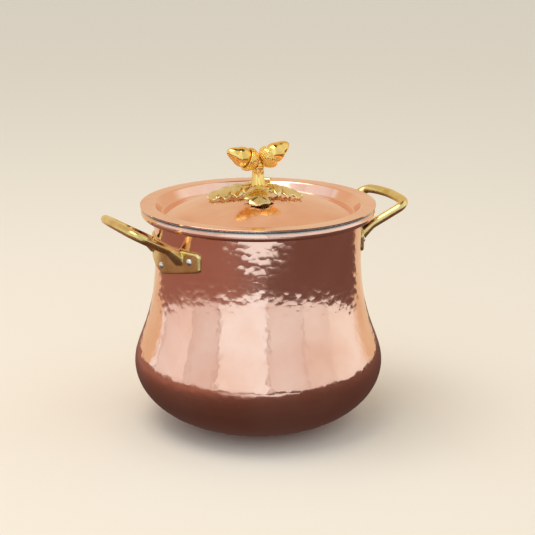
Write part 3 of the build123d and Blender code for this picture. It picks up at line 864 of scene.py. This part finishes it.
# direction in degrees, length and half width in millimetres, lobes, height, and tilt across
LEAVES = {
    "left": (169, 51, 16.0, 4, 1.0, -2.6),
    "right": (-32, 45, 12.5, 4, 1.0, 2.0),
    "front": (-110, 45, 15.0, 3, 1.0, 0.6),
}


class POT_OT_leaves(bpy.types.Operator):
    """Casts the oak leaves round the foot of the stem."""
    bl_idname = "soup_pot.leaves"
    bl_label = "Leaves"

    def execute(self, context):
        k, f, s = context.scene.knob_sizes, context.scene.pot_finishes, context.scene.lid_sizes
        pale = cast_brass("pale_leaf_brass", f.pale_brass, f.pale_deep, 0.16, 1.8, 0.08)
        crown = crown_of(s)
        for side, (way, length, width, lobes, lift, tilt) in LEAVES.items():
            obj = self.leaf(f"leaf_{side}", s, length, width, lobes, lift, tilt)
            obj.data.transform(Matrix.Rotation(math.radians(way), 4, "Z"))
            to_knob(obj, k, crown)
            finish(obj, f"oak_leaf_{side}", "lid", pale)
        obj = copy_of_node("oak_leaf_rear", "leaf_rear")
        apply_modifier(obj, "REMESH", mode="VOXEL", voxel_size=0.5 * MM)
        apply_modifier(obj, "SMOOTH", factor=0.5, iterations=8)
        smooth(obj)
        finish(obj, "oak_leaf_rear", "lid", pale)
        return {"FINISHED"}

    def leaf(self, name, s, length, width, lobes, lift, tilt):
        """One lobed leaf, drawn along +X, with a mid rib and side veins."""
        deselect()
        bpy.ops.mesh.primitive_grid_add(x_subdivisions=22 * lobes, y_subdivisions=28, size=2)
        obj = bpy.context.active_object
        obj.name = obj.data.name = name
        # millimetres: start of the leaf, lift of its tip, arch, ribs, ruffled edge, gap to the lid
        root, tip_lift, arch_high = 5.0, 1.2, 6.6
        rib_high, vein_high, ruffle, clearance = 1.1, 0.95, 1.3, 0.8

        def carve(x, y, z):
            u, v = (x + 1) / 2, y
            envelope = math.sin(math.pi * min(1, 0.10 + 0.90 * u)) ** 0.55 if u < 1 else 0.0
            wave = 0.5 - 0.5 * math.cos(2 * math.pi * lobes * u)
            half = width * max(envelope * (0.60 + 0.40 * wave ** 0.8), 0.10)
            along = root + (length - root) * u + 2.2 * abs(v) ** 1.5 * wave
            across = v * half
            r = math.hypot(along, across)
            arch = tip_lift + arch_high * math.cos(math.pi / 2 * min(u, 1)) ** 0.9 * lift
            rib = rib_high * math.exp(-(v / 0.10) ** 2) * (1 - u)
            row = (u * lobes - 0.5 - 0.35 * abs(v)) % 1 - 0.5
            vein = vein_high * math.exp(-(row / 0.11) ** 2)
            vein *= math.sin(math.pi * min(abs(v), 1)) ** 0.5 * (1 - 0.5 * u)
            droop = -0.55 * (arch - 1.0) * abs(v) ** 2.2
            ripple = ruffle * abs(v) ** 2 * math.cos(2 * math.pi * lobes * u + 0.8 * v)
            height = arch + rib + vein + droop + ripple + tilt * v * (1 - 0.5 * u)
            return along * MM, across * MM, max(height, clearance) * MM - lid_drop(s, r * MM)
        reshape(obj, carve)
        apply_modifier(obj, "SOLIDIFY", thickness=2.0 * MM, offset=1.0)
        apply_modifier(obj, "SUBSURF", levels=1, render_levels=1)
        smooth(obj)
        return obj


class POT_OT_fittings(bpy.types.Operator):
    """Finishes the rivets, rim wire, screw and washer."""
    bl_idname = "soup_pot.fittings"
    bl_label = "Fittings"

    def execute(self, context):
        steel = bright_steel(context.scene.pot_finishes)
        for node in ("rivets_left", "rivets_right", "rim_wire", "knob_screw", "knob_washer"):
            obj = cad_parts[node]
            obj.data.materials.clear()
            obj.data.materials.append(steel)
        return {"FINISHED"}


VIEW_TURN = math.radians(27.1)
CAMERA_AT = (0, -1.5, 0.5769)
CAMERA_PITCH = 0.27126
CAMERA_YAW = 0.00632
CAMERA_LENS = 103.25
PALE_CARD = (0.97, 1.08, 1.16, 1.0)


def from_view(x, y, z):
    """A place given as right, away and up from the viewer, in the pot's frame."""
    c, n = math.cos(VIEW_TURN), math.sin(VIEW_TURN)
    return Vector((x * c + y * n, -x * n + y * c, z))


class POT_OT_stage(bpy.types.Operator):
    """Lays the floor, sets the soft light and the camera."""
    bl_idname = "soup_pot.stage"
    bl_label = "Stage"

    def floor(self, f):
        deselect()
        bpy.ops.mesh.primitive_plane_add(size=24)
        obj = bpy.context.active_object
        obj.name = "studio_floor"
        material, tree, shader = new_material("studio_floor")
        shader.inputs["Base Color"].default_value = f.floor
        shader.inputs["Roughness"].default_value = 0.7
        shader.inputs["Specular IOR Level"].default_value = 0.0
        obj.data.materials.append(material)

    def table_card(self, f):
        """A dark table, a pale card on it and the feet of the wall panels.
        Only the metal mirrors them, as in a product studio."""
        deselect()
        bpy.ops.mesh.primitive_plane_add(size=23, location=(0, 0, 0.6 * MM))
        obj = bpy.context.active_object
        obj.name = "table_mirrored"
        bpy.ops.object.transform_apply(location=True)
        material, tree, _ = new_material("table_mirrored")
        place = place_of(tree)
        seen = add_node(tree, "ShaderNodeMapping",
                        {"vector_type": "POINT", "Rotation": (0, 0, VIEW_TURN)}, {"Vector": place})
        axes = add_node(tree, "ShaderNodeSeparateXYZ", {}, {"Vector": seen.outputs[0]})
        right, away = axes.outputs[0], axes.outputs[1]
        length = add_node(tree, "ShaderNodeVectorMath", {"operation": "LENGTH"}, {0: place})
        far = length.outputs["Value"]
        wide = combine(tree, "ABSOLUTE", right, 0.0)
        # painted light and shade on the mirrored table: lighter on its lit left side, darker on its
        # shaded right side, and darker still round the pot, a painted shadow of the pot
        sides = blend_colours(tree, spread(tree, right, -0.35, 0.2, 0.0, 1.0),
                              f.table_left, f.table_right)
        dark = blend_colours(tree, spread(tree, far, 0.12, 0.42, 0.0, 1.0), f.table_near, sides)
        # the card is a trapezoid in front of the pot, wider towards it
        half = spread(tree, away, -0.68, -0.45, 0.10, 0.34)
        card = spread(tree, combine(tree, "SUBTRACT", half, wide), 0.0, 0.02, 0.0, 1.0)
        card = combine(tree, "MULTIPLY", card, spread(tree, away, -0.70, -0.68, 0.0, 1.0))
        card = combine(tree, "MULTIPLY", card, spread(tree, away, -0.46, -0.40, 1.0, 0.0))
        ground = blend_colours(tree, card, dark, PALE_CARD)
        # the panels stand nearer straight in front, and the backdrop closes the table behind
        foot = spread(tree, wide, 0.05, 0.45, 0.98, 1.25)
        walls = spread(tree, combine(tree, "SUBTRACT", far, foot), 0.0, 0.02, 0.0, 1.0)
        walls = combine(tree, "MAXIMUM", walls, spread(tree, away, 0.44, 0.46, 0.0, 1.0))
        colour = blend_colours(tree, walls, ground, self.panels(tree, place))
        glow = add_node(tree, "ShaderNodeEmission", {"Strength": 1.0}, {"Color": colour})
        tree.links.new(glow.outputs[0], tree.nodes["Material Output"].inputs["Surface"])
        obj.data.materials.append(material)
        obj.visible_camera = False
        obj.visible_diffuse = False
        obj.visible_shadow = False
        obj.visible_transmission = False
        obj.visible_volume_scatter = False

    def panels(self, tree, way):
        """Colour of the studio wall in each direction round the pot."""
        # turned so that the angle is counted from the viewer's side
        turned = add_node(tree, "ShaderNodeMapping",
                          {"vector_type": "POINT", "Rotation": (0, 0, VIEW_TURN + math.pi / 2)},
                          {"Vector": way})
        round_ = add_node(tree, "ShaderNodeTexGradient", {"gradient_type": "RADIAL"},
                          {"Vector": turned.outputs[0]})
        panels = add_node(tree, "ShaderNodeValToRGB", {}, {"Fac": round_.outputs[1]})
        ramp = panels.color_ramp
        stops = self.panel_stops()
        while len(ramp.elements) < len(stops):
            ramp.elements.new(0.5)
        for element, (place, colour) in zip(ramp.elements, stops):
            element.position = place
        for element, (place, colour) in zip(ramp.elements, stops):
            element.color = (*colour, 1.0)
        return panels.outputs[0]

    def world(self):
        """White panels round the camera side, warm backdrop behind, dark overhead."""
        world = bpy.data.worlds.new("studio")
        bpy.context.scene.world = world
        world.use_nodes = True
        tree = world.node_tree
        background = tree.nodes["Background"]
        way = add_node(tree, "ShaderNodeTexCoord").outputs["Generated"]
        up = add_node(tree, "ShaderNodeSeparateXYZ", {}, {"Vector": way})
        height = add_node(tree, "ShaderNodeValToRGB", {}, {"Fac": up.outputs[2]})
        ladder = height.color_ramp
        ladder.elements[0].position = 0.90
        ladder.elements[0].color = (1, 1, 1, 1)
        ladder.elements[1].position = 0.95
        ladder.elements[1].color = (0.16, 0.14, 0.11, 1)
        both = add_node(tree, "ShaderNodeMix",
                        {"data_type": "RGBA", "blend_type": "MULTIPLY", 0: 1.0})
        tree.links.new(self.panels(tree, way), both.inputs[6])
        tree.links.new(height.outputs[0], both.inputs[7])
        tree.links.new(both.outputs[2], background.inputs["Color"])
        background.inputs["Strength"].default_value = 1.0

    @staticmethod
    def panel_stops():
        """Stops of the round ramp: (share of the circle, linear colour).
        0.5 is straight behind the viewer; angles grow to the viewer's right."""
        white, pale, warm = (1.04, 1.18, 1.26), (0.92, 0.97, 1.02), (0.83, 0.66, 0.45)
        seam = (0.50, 0.36, 0.30)
        marks = [(-180, warm), (-118, warm), (-112, white), (-110, white), (-109, seam),
                 (-107, pale), (-72, (0.98, 1.03, 1.06)), (-71, seam), (-70, (0.84, 0.86, 0.88)),
                 (-42, (0.86, 0.88, 0.90)), (-41, seam), (-39, white), (8, (1.06, 1.26, 1.38)),
                 (10, seam), (11, (0.88, 0.93, 0.96)), (46, (0.86, 0.90, 0.92)), (47, seam),
                 (48, (0.90, 0.95, 0.96)), (76, (0.90, 0.94, 0.94)), (78, (0.97, 1.05, 1.05)),
                 (112, (1.00, 1.05, 1.02)), (124, warm), (180, warm)]
        return [((a + 180) / 360, colour) for a, colour in marks]

    def light(self, name, place, target, size, power, colour):
        data = bpy.data.lights.new(name, "AREA")
        data.shape = "RECTANGLE"
        data.size, data.size_y = size
        data.energy = power
        data.color = colour[:3]
        obj = bpy.data.objects.new(name, data)
        bpy.context.scene.collection.objects.link(obj)
        obj.location = place
        obj.rotation_euler = (target - place).to_track_quat("-Z", "Y").to_euler()
        obj.visible_camera = False
        return obj

    def camera(self):
        data = bpy.data.cameras.new("camera")
        data.sensor_width = 36.0
        data.lens = CAMERA_LENS
        obj = bpy.data.objects.new("camera", data)
        bpy.context.scene.collection.objects.link(obj)
        level = math.cos(CAMERA_PITCH)
        obj.location = from_view(*CAMERA_AT)
        way = from_view(math.sin(CAMERA_YAW) * level, math.cos(CAMERA_YAW) * level,
                        -math.sin(CAMERA_PITCH))
        obj.rotation_euler = way.to_track_quat("-Z", "Y").to_euler()
        data.clip_start = 0.05
        data.clip_end = 60
        bpy.context.scene.camera = obj

    def execute(self, context):
        self.floor(context.scene.pot_finishes)
        self.table_card(context.scene.pot_finishes)
        self.world()
        aim = Vector((0, 0, 0.12))
        self.light("top_softbox", from_view(-0.5, -0.3, 1.9), aim, (1.4, 1.0), 15,
                   context.scene.pot_finishes.lamp)
        self.camera()
        context.scene.view_settings.view_transform = "Standard"
        return {"FINISHED"}


class POT_PT_panel(bpy.types.Panel):
    """Lists the pot's pieces, sizes and colours."""
    bl_label = "Soup Pot"
    bl_space_type = "VIEW_3D"
    bl_region_type = "UI"
    bl_category = "Soup Pot"

    def draw(self, context):
        layout = self.layout
        for step in STEPS:
            layout.operator(step.bl_idname)
        for name in GROUPS:
            group = getattr(context.scene, name)
            for key in group.__annotations__:
                layout.prop(group, key)


STEPS = (POT_OT_shell, POT_OT_lining, POT_OT_lid, POT_OT_handles, POT_OT_stem,
         POT_OT_acorns, POT_OT_leaves, POT_OT_fittings, POT_OT_stage)
GROUPS = {"pot_sizes": PotSizes, "lid_sizes": LidSizes, "knob_sizes": KnobSizes,
          "pot_finishes": Finishes}


def register():
    for group in GROUPS.values():
        bpy.utils.register_class(group)
    for name, group in GROUPS.items():
        setattr(bpy.types.Scene, name, bpy.props.PointerProperty(type=group))
    for step in STEPS:
        bpy.utils.register_class(step)
    bpy.utils.register_class(POT_PT_panel)


def unregister():
    bpy.utils.unregister_class(POT_PT_panel)
    for step in reversed(STEPS):
        bpy.utils.unregister_class(step)
    for name, group in GROUPS.items():
        delattr(bpy.types.Scene, name)
        bpy.utils.unregister_class(group)


def main():
    register()
    for step in STEPS:
        group, name = step.bl_idname.split(".")
        getattr(getattr(bpy.ops, group), name)()
    deselect()


if __name__ == "__main__":
    main()
